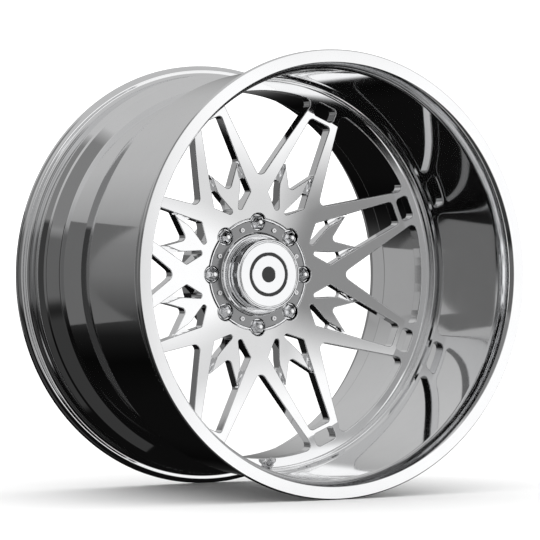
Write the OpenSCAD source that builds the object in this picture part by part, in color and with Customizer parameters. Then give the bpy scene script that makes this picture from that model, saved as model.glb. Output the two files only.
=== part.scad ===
// Deep-dish forged truck wheel, 26 x 16 in, 8 x 170 mm, with hub cap, lug nuts and valve.
// +Z is up, the wheel turns about Y, and the dished outboard side faces -Y.
// The origin is the centre of the wheel, halfway between the two flanges.

/* [Rim] */
// Diameter over the two flanges
rim_od = 700; // [696:1:706]
// Diameter of the bead seats at the heel
bead_seat_d = 665.2; // [664:0.1:667]
// Width between the two bead faces
rim_width = 406.4; // [395:0.1:418]
// Thickness of each flange, measured along the axle
flange_thick = 13.8; // [12:0.1:16]
// Inside diameter of the polished outboard lip
lip_id = 640; // [636:1:642]
// Wall thickness of the outboard barrel
lip_wall = 7; // [6:0.5:8]
// Outside diameter of the drop well
well_d = 620; // [614:1:624]
// Wall thickness of the drop well
well_wall = 8; // [6:0.5:10]

/* [Spoked centre] */
// Outside diameter of the centre, where it seats in the barrel
center_d = 626; // [624:1:628]
// Inside diameter of the ring that the spokes end in
ring_id = 595; // [592:1:598]
// Distance of the ring's front face behind the middle of the wheel
ring_set = 4.5; // [3:0.5:8]
// Thickness of the ring and the spoke ends
ring_thick = 22; // [18:1:26]
// Distance of the hub's front face behind the middle of the wheel
hub_set = 35; // [32:1:38]
// Distance of the mounting face behind the middle of the wheel (negative offset)
offset_back = 101; // [96:1:106]
// Diameter of the hub pad
pad_d = 216; // [214:1:217]
// Diameter of the centre bore
bore_d = 125.2; // [124:0.1:127]
// Number of spoke pairs, lug holes and nuts
sectors = 8; // [8:8]

/* [Lugs] */
// Lug circle diameter
lug_pcd = 170; // [169:1:171]
// Diameter of each lug hole
lug_hole_d = 15; // [14.8:0.1:15.4]
// Diameter of the pocket round each nut
lug_pocket_d = 30; // [29:0.5:31]
// Stud diameter that the nuts take
stud_d = 14; // [13.6:0.1:14.1]
// Width across the flats of a nut
nut_flats = 22.2; // [21:0.1:23]

/* [Hub cap] */
// Outside diameter of the scalloped base
base_d = 181; // [180:0.5:182]
// Outside diameter of the can
can_d = 116; // [114:0.5:117]
// Circle that the small screws lie on
screw_pcd = 155.2; // [154:0.2:157]

/* [Valve] */
// Distance of the valve's seat from the axle
valve_r = 309; // [308:0.5:310]
// Tilt of the valve towards the axle
valve_tilt = 30; // [28:1:32]
// Diameter of the hole for the valve's grommet
valve_hole_d = 11.5; // [11.4:0.1:12]

/* [Hidden] */
$fn = 96;

// Colours
polished = [0.90, 0.90, 0.91];
chromed = [0.80, 0.81, 0.83];
dark_rubber = [0.06, 0.06, 0.06];
steel = [0.72, 0.72, 0.74];
brass = [0.80, 0.65, 0.30];

// Rim section, as [radius, distance outboard of the middle plane]
rim_r = rim_od / 2;
seat_r = bead_seat_d / 2;
bead_t = rim_width / 2;
face_t = bead_t + flange_thick;
lip_r = lip_id / 2;
outer_r = lip_r + lip_wall;
well_r = well_d / 2;
well_in_r = well_r - well_wall;
center_r = center_d / 2;
flange_curve = 9.5;
flange_curve_r = rim_r - flange_curve + 0.1;
heel_fillet = 6.5;
seat_end_t = 175;
seat_drop = 1.9;
hump_t = 169.5;
hump_rise = 1.5;
hump_foot_t = 158;
face_in_r = rim_r - 20;
flare_t = 186;
flare_bend = 53;
step_t = 7;
flank_r = 319.5;
flank_t = -10;
well_front_t = -58;
well_back_t = -133;
ramp_top_t = -152;
ramp_top_r = 326;
shoulder_t = -ring_set - ring_thick;
joint_gap = 0.05;

function arc_points(center, r, from, to, steps) =
    [for (i = [0:steps]) let (a = from + (to - from) * i / steps)
        [center[0] + r * cos(a), center[1] + r * sin(a)]];

function mirror_t(points) =
    [for (i = [len(points) - 1:-1:0]) [points[i][0], -points[i][1]]];

// Outer side of the outboard flange, from the polished face to the foot of the hump
flange_outside = concat(
    [[face_in_r, face_t], [rim_r - 2, face_t], [rim_r - 0.7, face_t - 0.8]],
    [[rim_r, face_t - 2.4], [rim_r, face_t - 6.6]],
    arc_points([flange_curve_r, bead_t + flange_curve], flange_curve, -14, -90, 8),
    arc_points([seat_r + heel_fillet, bead_t - heel_fillet], heel_fillet, 90, 180, 8),
    [[seat_r - seat_drop, seat_end_t], [seat_r - 1, hump_t + 2.5]],
    [[seat_r - seat_drop + hump_rise, hump_t], [seat_r - 1, hump_t - 2.5]],
    [[outer_r, hump_foot_t]]
);

barrel_section = concat(
    flange_outside,
    [[outer_r, step_t], [flank_r, step_t], [flank_r, flank_t]],
    [[well_r, well_front_t], [well_r, well_back_t], [ramp_top_r, ramp_top_t]],
    mirror_t(flange_outside),
    [[face_in_r - 3, -face_t + 8], [lip_r - 1, -face_t + 24], [lip_r - 1.5, ramp_top_t + 2]],
    [[well_in_r, well_back_t + 4], [well_in_r, shoulder_t], [center_r + joint_gap, shoulder_t]],
    [[center_r + joint_gap, 1], [center_r + 2.5, 1], [center_r + 2.5, 6]],
    [[center_r + 4, 6], [center_r + 4.6, 12], [lip_r - 0.7, 17], [lip_r, 23]],
    arc_points([lip_r + flare_bend, flare_t], flare_bend, 180, 145, 8)
);

// Front face of the centre: a shallow dish, deeper towards the hub
dish_in_r = 91.5;
dish_out_r = 277;
dish_mid_r = 164;
dish_mid_t = -26.2;
dish_slope = (-ring_set - 2 + hub_set) / (dish_out_r - dish_in_r);
dish_sag = (-hub_set + dish_slope * (dish_mid_r - dish_in_r) - dish_mid_t)
    / ((dish_mid_r - dish_in_r) * (dish_out_r - dish_mid_r));

function dish_t(r) = -hub_set + dish_slope * (r - dish_in_r)
    - dish_sag * (r - dish_in_r) * (dish_out_r - r);

recess_t = -hub_set - 6;
pad_r = pad_d / 2;
bore_r = bore_d / 2;
bore_chamfer = 1.5;
dish_steps = 7;
spoke_back_out_t = shoulder_t - 1;
spoke_back_in_t = -53;
spoke_back_in_r = 128;

center_section = concat(
    [[bore_r, recess_t], [bore_r, -offset_back + bore_chamfer]],
    [[bore_r + bore_chamfer, -offset_back], [pad_r, -offset_back], [pad_r, -72]],
    [[spoke_back_in_r, spoke_back_in_t], [ring_id / 2 - 14, spoke_back_out_t]],
    [[ring_id / 2, shoulder_t], [center_r, shoulder_t], [center_r, -ring_set]],
    [for (i = [0:dish_steps]) let (r = dish_out_r + (dish_in_r - dish_out_r) * i / dish_steps)
        [r, dish_t(r)]],
    [[dish_in_r, recess_t]]
);

// Spoke outlines, as [distance along the sector's axis, distance to its side]
pair_edge_far = 255.3;
pair_edge_half = 21.4;
pair_edge_slope = 0.119;

function pair_edge(u) = pair_edge_half + pair_edge_slope * (pair_edge_far - u);

slot_end = 268.2;
slot_shoulder = 187.5;
fork_vertex = 146.3;
slot_round = 6.5;
window_in = 276;
window_out = 298;
window_half = 19.2;
gap_vertex = 156.1;
gap_angle = 34.2;
gap_round = 9.5;
tear_round = 3.4;
cut_deep = 80;
sector = 360 / sectors;

long_slot = [
    [fork_vertex, 0], [slot_shoulder, pair_edge(slot_shoulder)], [slot_end, pair_edge(slot_end)],
    [slot_end, -pair_edge(slot_end)], [slot_shoulder, -pair_edge(slot_shoulder)]
];
teardrop = [
    [113, 5.4], [108.8, 10.4], [131, pair_edge(131) + 0.4], [156, pair_edge(156)],
    [156, 24.2], [143.5, 19.9]
];
ledge = [
    [150, pair_edge(150)], [slot_shoulder + 3, pair_edge(slot_shoulder + 3)],
    [slot_shoulder - 12, 24.6], [166, 23.8], [150, 22.6]
];
ledge_floor_t = -31.5;
ledge_inset = 1.8;
ledge_deep_t = -36.5;

// Lug seats and nuts
lug_r = lug_pcd / 2;
seat_cone_r = 11;
seat_cone_t = -80;
seat_cone_h = (seat_cone_r - lug_hole_d / 2) / tan(30);
nut_gap = 0.6;
nut_seat_r = seat_cone_r - 0.3;
nut_foot_r = lug_hole_d / 2 - 0.3;
nut_shoulder_t = seat_cone_t + nut_gap;
nut_hex_t = -37;
nut_tip_t = -25.5;
nut_tip_flats = 8;
nut_collar_r = 13;
nut_collar_h = 41;
nut_bore_end_t = -44;
back_pocket_r = 9;
back_pocket_pcd = 176;
back_pocket_deep = 22;

// Hub cap
base_r = base_d / 2;
gasket_thick = 0.8;
base_back_t = recess_t + gasket_thick;
land_t = -hub_set - 0.5;
rim_lip_t = -hub_set + 1.2;
scallop_r = lug_pocket_d / 2 - 1.2;
can_r = can_d / 2;
can_wall = 3.4;
can_foot_r = can_r + 3.5;
can_foot_h = 2;
face_r = can_r - 3.8;
face_thick = 3.2;
face_seat_t = -3.4;
oring_r = face_r - 2.2;
oring_section = 0.8;
screw_r = screw_pcd / 2;
screw_shank_r = 2.4;
screw_hole_r = 2.5;
screw_head_r = 4.1;
screw_head_h = 2.6;
screw_end_t = -54;

// Valve, as distances along its own axis from the front seat
valve_back_seat = -13;
valve_spot_r = 9.2;
stem_r = 4.1;
stem_thread_r = 3.85;
stem_bore_r = 2.6;
stem_top = 20;
valve_cap_r = 5.3;
valve_cap_top = 22.8;

module wheel_frame() {
    rotate([90, 0, 0]) children();
}

module at_sector(angle) {
    wheel_frame() rotate(90 - angle) children();
}

module valve_frame() {
    wheel_frame() translate([0, -valve_r, -ring_set]) rotate([-valve_tilt, 0, 0]) children();
}

module rounded(r) {
    offset(r = r, $fn = 28) offset(delta = -r) children();
}

module valve_holes() {
    valve_frame() {
        translate([0, 0, -30]) cylinder(h = 40, d = valve_hole_d);
        cylinder(h = 30, r = valve_spot_r);
        translate([0, 0, valve_back_seat - 40]) cylinder(h = 40, r = valve_spot_r);
    }
}

module barrel() {
    color(polished)
    difference() {
        wheel_frame() rotate_extrude($fn = 180) polygon(barrel_section);
        valve_holes();
    }
}

module gap_outline() {
    reach = 400;
    rounded(gap_round) intersection() {
        polygon([[gap_vertex, 0], [reach, (reach - gap_vertex) * tan(gap_angle)],
            [reach, -(reach - gap_vertex) * tan(gap_angle)]]);
        circle(d = ring_id, $fn = 180);
    }
}

module pair_cuts() {
    translate([0, 0, -cut_deep]) {
        linear_extrude(cut_deep + 5) rounded(slot_round) polygon(long_slot);
        linear_extrude(cut_deep + 5) rounded(slot_round)
            translate([window_in, -window_half]) square([window_out - window_in, 2 * window_half]);
    }
    for (side = [0, 1]) mirror([0, side, 0]) {
        translate([0, 0, -cut_deep - 15]) linear_extrude(cut_deep + 20)
            rounded(tear_round) polygon(teardrop);
        translate([0, 0, ledge_floor_t]) linear_extrude(cut_deep) rounded(1) polygon(ledge);
        translate([0, 0, ledge_deep_t]) linear_extrude(cut_deep)
            offset(delta = -ledge_inset) polygon(ledge);
    }
}

module lug_cut() {
    translate([lug_r, 0, -offset_back - 1]) cylinder(h = offset_back, d = lug_hole_d);
    translate([lug_r, 0, seat_cone_t]) cylinder(h = 60, d = lug_pocket_d);
    translate([lug_r, 0, seat_cone_t - seat_cone_h])
        cylinder(h = seat_cone_h, r1 = lug_hole_d / 2, r2 = seat_cone_r);
}

module spoke_center() {
    color(polished)
    difference() {
        wheel_frame() rotate_extrude($fn = 180) polygon(center_section);
        for (k = [0:sectors - 1]) {
            at_sector(k * sector) {
                translate([0, 0, -cut_deep]) linear_extrude(cut_deep + 5) gap_outline();
                lug_cut();
            }
            at_sector((k + 0.5) * sector) {
                pair_cuts();
                translate([screw_r, 0, screw_end_t - 2]) cylinder(h = 30, r = screw_hole_r);
                translate([back_pocket_pcd / 2, 0, -offset_back - 1])
                    cylinder(h = back_pocket_deep + 1, r = back_pocket_r);
            }
        }
        valve_holes();
    }
}

module cap_base() {
    color(chromed)
    difference() {
        wheel_frame() rotate_extrude() polygon([
            [can_r + 0.1, base_back_t + can_foot_h + 0.1],
            [can_foot_r + 0.1, base_back_t + can_foot_h + 0.1],
            [can_foot_r + 0.1, base_back_t], [base_r, base_back_t], [base_r, rim_lip_t - 0.6],
            [base_r - 0.6, rim_lip_t], [base_r - 1.8, rim_lip_t], [base_r - 3, land_t],
            [can_r + 11, land_t], [can_r + 9.5, land_t + 0.6], [can_r + 8, land_t + 3.4],
            [can_r + 5.4, land_t + 4], [can_r + 3.8, land_t + 1.2], [can_r + 2.2, land_t + 1.2],
            [can_r + 1.6, land_t + 2.6], [can_r + 0.1, land_t + 2.6]
        ]);
        for (k = [0:sectors - 1]) {
            at_sector(k * sector) translate([lug_r, 0, -60]) cylinder(h = 60, r = scallop_r);
            at_sector((k + 0.5) * sector)
                translate([screw_r, 0, -60]) cylinder(h = 60, r = screw_hole_r);
        }
    }
}

module cap_can() {
    color(chromed)
    wheel_frame() rotate_extrude() difference() {
        polygon([
            [can_r - can_wall, base_back_t], [can_foot_r, base_back_t],
            [can_foot_r, base_back_t + can_foot_h], [can_r, base_back_t + can_foot_h],
            [can_r, -30], [can_r - 1.2, -29], [can_r - 1.2, -27.4], [can_r, -26.4],
            [can_r, -1.6], [can_r - 0.5, -0.5], [can_r - 1.6, 0], [face_r + 0.9, 0], [face_r + 0.1, -0.8],
            [face_r + 0.1, face_seat_t], [face_r - 5, face_seat_t], [face_r - 5, face_seat_t - 3],
            [can_r - can_wall, face_seat_t - 7]
        ]);
        translate([oring_r - 1.1, face_seat_t - 2 * oring_section])
            square([2.2, 2 * oring_section + 1]);
    }
}

module cap_face() {
    color(chromed)
    wheel_frame() rotate_extrude() polygon([
        [0, face_seat_t], [face_r, face_seat_t], [face_r, -1.2], [face_r - 0.6, -0.4],
        [face_r - 1.8, -0.2], [face_r - 2.4, -0.7], [face_r - 3, -0.2], [36, -0.2],
        [35.4, -0.8], [30.6, -0.8], [30, -0.2], [13, -0.2], [12.4, -0.8], [0, -0.8]
    ]);
}

module cap_oring() {
    color(dark_rubber)
    wheel_frame() rotate_extrude()
        translate([oring_r, face_seat_t - oring_section]) circle(r = oring_section, $fn = 32);
}

module cap_gasket() {
    color(dark_rubber)
    wheel_frame() translate([0, 0, recess_t]) difference() {
        cylinder(h = gasket_thick, r = lug_r - lug_pocket_d / 2 - 0.4);
        translate([0, 0, -1]) cylinder(h = gasket_thick + 2, r = bore_r + 1);
    }
}

module cap_screws() {
    color(steel)
    for (k = [0:sectors - 1]) at_sector((k + 0.5) * sector) translate([screw_r, 0, 0])
        difference() {
            union() {
                translate([0, 0, screw_end_t]) cylinder(h = land_t - screw_end_t, r = screw_shank_r);
                translate([0, 0, land_t]) rotate_extrude() polygon(concat(
                    [[0, 0], [screw_head_r, 0]],
                    [for (i = [1:7]) [screw_head_r * cos(i * 10), screw_head_h * sin(i * 10)]],
                    [[0, screw_head_h]]
                ));
            }
            translate([0, 0, land_t + 0.8]) cylinder(h = 5, r = 1.5, $fn = 6);
        }
}

module roof_prism() {
    rotate([90, 0, 0]) linear_extrude(60, center = true) polygon([
        [-nut_flats / 2, nut_shoulder_t + 1], [nut_flats / 2, nut_shoulder_t + 1],
        [nut_flats / 2, nut_hex_t], [nut_tip_flats / 2, nut_tip_t],
        [-nut_tip_flats / 2, nut_tip_t], [-nut_flats / 2, nut_hex_t]
    ]);
}

module lug_nut(place) {
    color(chromed)
    at_sector((place - 1) * sector) translate([lug_r, 0, 0]) difference() {
        union() {
            intersection() {
                roof_prism();
                rotate(60) roof_prism();
                rotate(120) roof_prism();
            }
            rotate_extrude() polygon([
                [0, nut_shoulder_t - seat_cone_h], [nut_foot_r, nut_shoulder_t - seat_cone_h],
                [nut_seat_r, nut_shoulder_t], [nut_collar_r, nut_shoulder_t],
                [nut_collar_r, nut_shoulder_t + nut_collar_h], [0, nut_shoulder_t + nut_collar_h]
            ]);
        }
        translate([0, 0, nut_shoulder_t - seat_cone_h - 1])
            cylinder(h = nut_bore_end_t - nut_shoulder_t + seat_cone_h + 1, d = stud_d);
    }
}

module valve_stem() {
    color(steel)
    valve_frame() difference() {
        rotate_extrude() polygon([
            [0, valve_back_seat - 8], [7, valve_back_seat - 8], [8, valve_back_seat - 7],
            [8, valve_back_seat - 4.4], [stem_r, valve_back_seat - 4.4], [stem_r, 8.4],
            [stem_thread_r, 8.8], [stem_thread_r, stem_top - 0.6],
            [stem_thread_r - 0.6, stem_top], [0, stem_top]
        ]);
        translate([0, 0, valve_back_seat - 9]) cylinder(h = 60, r = stem_bore_r);
    }
}

module valve_grommet() {
    color(dark_rubber)
    valve_frame() rotate_extrude() polygon([
        [stem_r + 0.05, valve_back_seat - 4.4], [7.6, valve_back_seat - 4.4],
        [8.2, valve_back_seat - 3.6], [8.2, valve_back_seat],
        [valve_hole_d / 2 - 0.1, valve_back_seat], [valve_hole_d / 2 - 0.1, -0.6],
        [stem_r + 0.05, -0.6]
    ]);
}

module valve_washer() {
    color(steel)
    valve_frame() difference() {
        cylinder(h = 1.2, r = 8.2);
        translate([0, 0, -1]) cylinder(h = 4, r = stem_r + 0.05);
    }
}

module valve_hex_nut() {
    color(chromed)
    valve_frame() difference() {
        intersection() {
            translate([0, 0, 1.2]) cylinder(h = 6, r = 14 / sqrt(3), $fn = 6);
            rotate_extrude() polygon([[0, 1.2], [7.6, 1.2], [8.2, 1.8], [8.2, 6.2], [6.8, 7.2], [0, 7.2]]);
        }
        cylinder(h = 20, r = stem_r + 0.05);
    }
}

module valve_core() {
    color(brass)
    valve_frame() difference() {
        translate([0, 0, 4]) cylinder(h = 14, r = stem_bore_r - 0.05);
        cylinder(h = 30, r = 1.1);
    }
}

module valve_core_pin() {
    color(brass)
    valve_frame() rotate_extrude($fn = 32) polygon([
        [0, 1.2], [1.9, 1.2], [1.9, 3.2], [0.75, 3.2], [0.75, 18.6], [0.95, 19], [0.95, 19.6], [0, 19.6]
    ]);
}

module valve_cap() {
    color(chromed)
    valve_frame() difference() {
        rotate_extrude() polygon([
            [stem_thread_r + 0.35, 8.9], [valve_cap_r - 0.4, 8.9], [valve_cap_r, 9.3],
            [valve_cap_r, valve_cap_top - 2.6], [valve_cap_r - 0.9, valve_cap_top - 0.8],
            [valve_cap_r - 2.4, valve_cap_top], [0, valve_cap_top], [0, valve_cap_top - 1.4],
            [stem_thread_r + 0.35, valve_cap_top - 1.4]
        ]);
        for (k = [0:17]) rotate(k * 20)
            translate([valve_cap_r + 0.15, 0, 10.4]) cylinder(h = 8.6, r = 0.45, $fn = 16);
    }
}

module valve_cap_seal() {
    color(dark_rubber)
    valve_frame() difference() {
        translate([0, 0, stem_top + 0.3]) cylinder(h = 1.1, r = stem_thread_r + 0.3);
        translate([0, 0, stem_top]) cylinder(h = 3, r = 1.6);
    }
}

barrel();
spoke_center();
cap_base();
cap_can();
cap_face();
cap_oring();
cap_gasket();
cap_screws();
lug_nut(1);  // lug_nut_1
lug_nut(2);  // lug_nut_2
lug_nut(3);  // lug_nut_3
lug_nut(4);  // lug_nut_4
lug_nut(5);  // lug_nut_5
lug_nut(6);  // lug_nut_6
lug_nut(7);  // lug_nut_7
lug_nut(8);  // lug_nut_8
valve_stem();
valve_grommet();
valve_washer();
valve_hex_nut();
valve_core();
valve_core_pin();
valve_cap();
valve_cap_seal();
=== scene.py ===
"""A polished deep-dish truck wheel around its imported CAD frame, in metres."""
import math
import bpy
import numpy as np
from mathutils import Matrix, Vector
from mathutils.geometry import delaunay_2d_cdt


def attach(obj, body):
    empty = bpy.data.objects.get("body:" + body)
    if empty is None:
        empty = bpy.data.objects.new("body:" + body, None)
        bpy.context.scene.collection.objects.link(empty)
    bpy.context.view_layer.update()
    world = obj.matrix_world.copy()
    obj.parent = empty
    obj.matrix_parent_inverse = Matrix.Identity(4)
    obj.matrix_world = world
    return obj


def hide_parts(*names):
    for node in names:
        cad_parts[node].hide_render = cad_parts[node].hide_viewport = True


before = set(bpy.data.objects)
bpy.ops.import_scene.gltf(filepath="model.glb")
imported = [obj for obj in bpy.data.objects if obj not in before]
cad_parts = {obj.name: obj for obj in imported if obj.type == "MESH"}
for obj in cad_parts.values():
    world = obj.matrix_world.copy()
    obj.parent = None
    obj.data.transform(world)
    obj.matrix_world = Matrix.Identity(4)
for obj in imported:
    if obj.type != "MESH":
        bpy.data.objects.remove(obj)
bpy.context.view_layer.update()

# ---------------------------------------------------------------- dimensions, in millimetres
# Wheel coordinates: x right, y up, t outboard of the middle plane.
# barrel: flange, bead seat, lip and drop well
RIM_R, SEAT_R, BEAD_T, FACE_T = 350.0, 332.6, 203.2, 217.0
LIP_R, OUTER_R, WELL_R, WELL_IN_R = 320.0, 327.0, 310.0, 302.0
# centre: flat ring, dish, recess under the cap, mounting pad, ledges and rounded edges
CENTER_R, RING_IN_R, RING_T, BACK_T = 313.0, 297.5, -4.5, -26.5
DISH_IN_R, DISH_OUT_R, DISH_MID_R, DISH_MID_T = 91.5, 277.0, 164.0, -26.2
HUB_T, RECESS_T, PAD_T, PAD_R, BORE_R = -35.0, -41.0, -101.0, 108.0, 62.6
LEDGE_T, LEDGE_DEEP_T, STEP_W, EDGE, OUTER_EDGE = -31.5, -36.5, 1.8, 1.5, 0.35
# lug circle with its counterbores and cone seats, screw circle, and blind pockets in the pad
LUG_R, LUG_HOLE_R, POCKET_R, POCKET_T, SEAT_CONE_R, SEAT_CONE_H = 85.0, 7.5, 15.0, -80.0, 11.0, 6.06
SCREW_R, DENT_R = 77.6, 88.0
# valve: where its axis meets the ring, spot face, hole and the thickness that it clamps
VALVE_R, VALVE_TILT, SPOT_R, VALVE_HOLE_R, VALVE_WALL = 309.0, math.radians(30), 9.2, 5.75, 13.0
# hub cap
CAN_R, FACE_R, BASE_R = 58.0, 54.2, 90.5
SECTORS = 8
SECTOR = 360 / SECTORS
LUG_AT = [math.radians(90 - SECTOR * k) for k in range(SECTORS)]
SCREW_AT = [a - math.pi / SECTORS for a in LUG_AT]


# ---------------------------------------------------------------- plane geometry
def right(d):
    return np.array([d[1], -d[0]])


def unit(v):
    return v / np.maximum(np.linalg.norm(v, axis=-1, keepdims=True), 1e-12)


def trace(points, closed=True, step=6.0, turn=9.0):
    """Rounds the corners of a line whose points are (x, y) or (x, y, radius).
    Returns its points and the right-hand normals of the edges before and after each."""
    p = [np.array(q[:2], float) for q in points]
    radius = [q[2] if len(q) > 2 else 0.0 for q in points]
    n, run = len(p), []
    for i in range(n):
        before = None if (i == 0 and not closed) else unit(p[i] - p[i - 1])
        after = None if (i == n - 1 and not closed) else unit(p[(i + 1) % n] - p[i])
        if before is None or after is None:
            d = after if before is None else before
            run.append((p[i], right(d), right(d)))
            continue
        angle = math.atan2(before[0] * after[1] - before[1] * after[0], before @ after)
        if radius[i] <= 0 or abs(angle) < 1e-3:
            run.append((p[i], right(before), right(after)))
            continue
        reach, side = radius[i] * math.tan(abs(angle) / 2), math.copysign(1.0, angle)
        start = p[i] - before * reach
        centre = start - side * radius[i] * right(before)
        steps = 2 * max(1, math.ceil(abs(math.degrees(angle)) / turn / 2))
        for k in range(steps + 1):
            a = angle * k / steps
            c, s = math.cos(a), math.sin(a)
            v = start - centre
            q = np.array([c * v[0] - s * v[1], s * v[0] + c * v[1]])
            run.append((centre + q, side * q / radius[i], side * q / radius[i]))
    out = []
    for i, (a, arrive, leave) in enumerate(run):
        out.append((a, arrive, leave))
        if i == len(run) - 1 and not closed:
            break
        b = run[(i + 1) % len(run)][0]
        gap = np.linalg.norm(b - a)
        parts = int(math.ceil(gap / step)) if gap > step * 1.01 else 1
        if parts > 1:
            side = right(unit(b - a))
            for k in range(1, parts):
                out.append((a + (b - a) * k / parts, side, side))
    pts = np.array([o[0] for o in out])
    return pts, np.array([o[1] for o in out]), np.array([o[2] for o in out])


def area(p):
    q = np.roll(p, -1, 0)
    return 0.5 * np.sum(p[:, 0] * q[:, 1] - q[:, 0] * p[:, 1])


def hole(points, **how):
    """A closed outline, traced anticlockwise, so its right-hand normals point out of it."""
    if area(np.array([q[:2] for q in points], float)) < 0:
        points = points[::-1]
    return trace(points, True, **how)


def polar(r, a):
    return r * math.cos(a), r * math.sin(a)


def circle(r, n, centre=(0.0, 0.0), start=0.0):
    a = start + np.arange(n) * 2 * math.pi / n
    nrm = np.stack([np.cos(a), np.sin(a)], 1)
    return np.array(centre) + r * nrm, nrm, nrm


def turned(loop, degrees, flip=False):
    """A loop in a sector's own axes, put at its clockwise angle from the top."""
    a = math.radians(90 - degrees)
    m = np.array([[math.cos(a), -math.sin(a)], [math.sin(a), math.cos(a)]])
    p, arrive, leave = loop
    if flip:
        f = np.array([1.0, -1.0])
        p, arrive, leave = (p * f)[::-1], (leave * f)[::-1], (arrive * f)[::-1]
    return p @ m.T, arrive @ m.T, leave @ m.T


def within(q, loop):
    """Which of the points q are inside a closed loop of points."""
    q, inside = np.atleast_2d(q), np.zeros(len(np.atleast_2d(q)), bool)
    lo, hi = loop.min(0), loop.max(0)
    near = np.nonzero(np.all((q >= lo) & (q <= hi), axis=1))[0]
    b = np.roll(loop, -1, 0)
    for part in np.array_split(near, max(1, len(near) * len(loop) // 4_000_000)):
        x, y = q[part, 0][:, None], q[part, 1][:, None]
        crosses = (loop[:, 1] > y) != (b[:, 1] > y)
        with np.errstate(divide="ignore", invalid="ignore"):
            at = loop[:, 0] + (y - loop[:, 1]) * (b[:, 0] - loop[:, 0]) / (b[:, 1] - loop[:, 1])
        inside[part] = (np.sum(crosses & (x < at), axis=1) % 2) == 1
    return inside


def in_any(q, loops):
    return np.any([within(q, x[0]) for x in loops], axis=0)


def between(q, outer, others):
    """Which of the points q are inside one loop of points and outside the others."""
    ok = within(q, outer)
    for loop in others:
        ok &= ~within(q, loop)
    return ok


def ring_edges(loops):
    """The edges of several loops of points, numbered as the loops follow each other."""
    edges, n = [], 0
    for loop in loops:
        k = len(loop)
        edges += [(n + i, n + (i + 1) % k) for i in range(k)]
        n += k
    return edges


def beside(loop, gap):
    """The middle of each edge, moved by gap along its right-hand normal."""
    normal = unit(loop[2] + np.roll(loop[1], -1, 0))
    return (loop[0] + np.roll(loop[0], -1, 0)) / 2 + normal * gap


def split_at(loop, others):
    """The loop with a point added wherever another loop crosses it."""
    p, arrive, leave = loop
    q = np.roll(p, -1, 0)
    out = []
    for i in range(len(p)):
        cuts = []
        for o in others:
            c, d = o, np.roll(o, -1, 0)
            e, f = q[i] - p[i], d - c
            den = e[0] * f[:, 1] - e[1] * f[:, 0]
            with np.errstate(divide="ignore", invalid="ignore"):
                s = ((c[:, 0] - p[i][0]) * f[:, 1] - (c[:, 1] - p[i][1]) * f[:, 0]) / den
                u = ((c[:, 0] - p[i][0]) * e[1] - (c[:, 1] - p[i][1]) * e[0]) / den
            met = (np.abs(den) > 1e-9) & (u > -1e-9) & (u < 1 + 1e-9)
            cuts += list(s[met & (s > 1e-4) & (s < 1 - 1e-4)])
        out.append((p[i], arrive[i], leave[i]))
        j = (i + 1) % len(p)
        last = -1.0
        for s in sorted(cuts):
            if s - last > 1e-5:
                m = unit(leave[i] * (1 - s) + arrive[j] * s)
                out.append((p[i] + (q[i] - p[i]) * s, m, m))
                last = s
    return tuple(np.array([o[k] for o in out]) for k in range(3))


def chained(loops, shown):
    """The longest closed loop that can be strung from the edges that shown picks of each loop."""
    edges, out = {}, []
    for (p, arrive, leave), pick in zip(loops, shown):
        q = np.roll(p, -1, 0)
        for i in np.nonzero(pick)[0]:
            edges[tuple(np.round(p[i], 4))] = (p[i], q[i], leave[i], arrive[(i + 1) % len(p)])
    while edges:
        key, run = next(iter(edges)), []
        while key in edges:
            run.append(edges.pop(key))
            key = tuple(np.round(run[-1][1], 4))
        out.append(tuple(np.array(x) for x in zip(*[(e[0], run[i - 1][3], e[2]) for i, e in enumerate(run)])))
    return max(out, key=lambda x: abs(area(x[0])))


def merged(loops):
    """The outline round several loops that overlap: their edges that lie inside no other."""
    loops = [split_at(a, [b[0] for b in loops if b is not a]) for a in loops]
    return chained(loops, [~in_any(beside(a, 0), [b for b in loops if b is not a]) for a in loops])


def inset(loop, gap):
    """The loop moved by gap along its right-hand normals, with the tips that vanish drawn together."""
    p, arrive, leave = loop
    m = p + gap * (arrive + leave) / (1 + np.sum(arrive * leave, 1, keepdims=True))
    q = np.roll(p, -1, 0)
    e = q - p
    size = np.maximum(np.sum(e * e, 1), 1e-12)
    bad = np.zeros(len(p), bool)
    for i in range(len(p)):
        s = np.clip(np.sum((m[i] - p) * e, 1) / size, 0, 1)
        bad[i] = np.min(np.linalg.norm(p + e * s[:, None] - m[i], axis=1)) < abs(gap) * 0.97
    if bad.any() and not bad.all():
        n, start = len(p), int(np.nonzero(~bad)[0][0])
        order = [(start + k) % n for k in range(n)]
        k = 0
        while k < n:
            if not bad[order[k]]:
                k += 1
                continue
            j = k
            while j < n and bad[order[j]]:
                j += 1
            a, b = order[k - 1], order[j % n]
            d1, d2 = e[a] / math.sqrt(size[a]), e[order[j - 1]] / math.sqrt(size[order[j - 1]])
            den = d1[0] * d2[1] - d1[1] * d2[0]
            w = m[b] - m[a]
            meet = (m[a] + m[b]) / 2
            if abs(den) > 1e-3:
                meet = m[a] + d1 * ((w[0] * d2[1] - w[1] * d2[0]) / den)
            for i in order[k:j]:
                m[i] = meet
            k = j
    return m


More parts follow.
